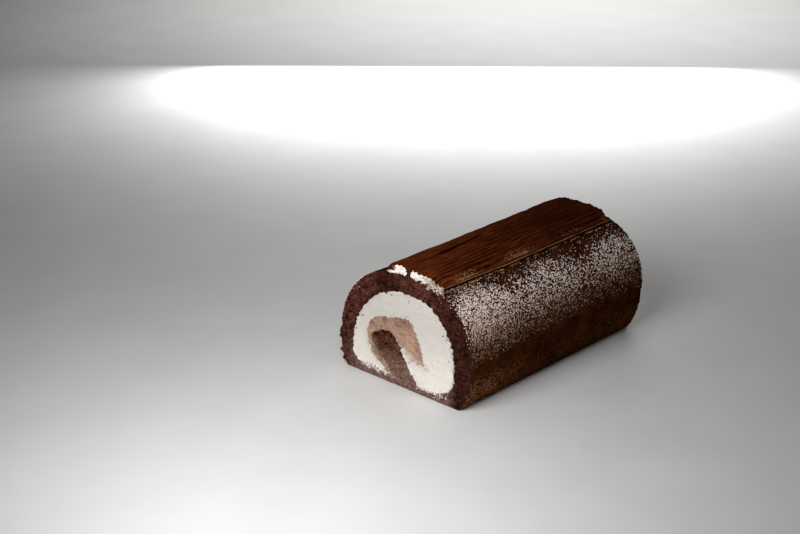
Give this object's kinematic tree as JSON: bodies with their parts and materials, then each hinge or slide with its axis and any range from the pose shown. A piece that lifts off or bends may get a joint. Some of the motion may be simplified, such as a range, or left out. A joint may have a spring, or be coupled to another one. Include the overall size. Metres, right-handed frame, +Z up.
{
  "type": "swiss roll cake",
  "caption": "Chocolate swiss roll cut square at both ends, filled with white and mocha cream, with a combed cocoa-dusted cream strip along the top.",
  "frame": {"origin": "on the floor, under the middle of the roll", "axes": "+Z up, +Y along the roll away from the shown cut, +X across it to the right of the shown cut"},
  "size_m": [0.1042, 0.16, 0.0775],
  "materials": {
    "sponge": "soft chocolate sponge, open crumb on the cuts and a finer baked skin outside",
    "white_cream": "whipped white cream, cut with a knife",
    "mocha_cream": "light brown mocha cream, cut with a knife",
    "cocoa_cream": "combed cream under a dry layer of cocoa powder",
    "icing_sugar": "dry icing sugar grains and dust"
  },
  "bodies": {
    "root": {"sponge": "sponge", "white_cream": "white_cream", "mocha_cream": "mocha_cream", "combed_strip": "cocoa_cream"}
  },
  "joints": []
}
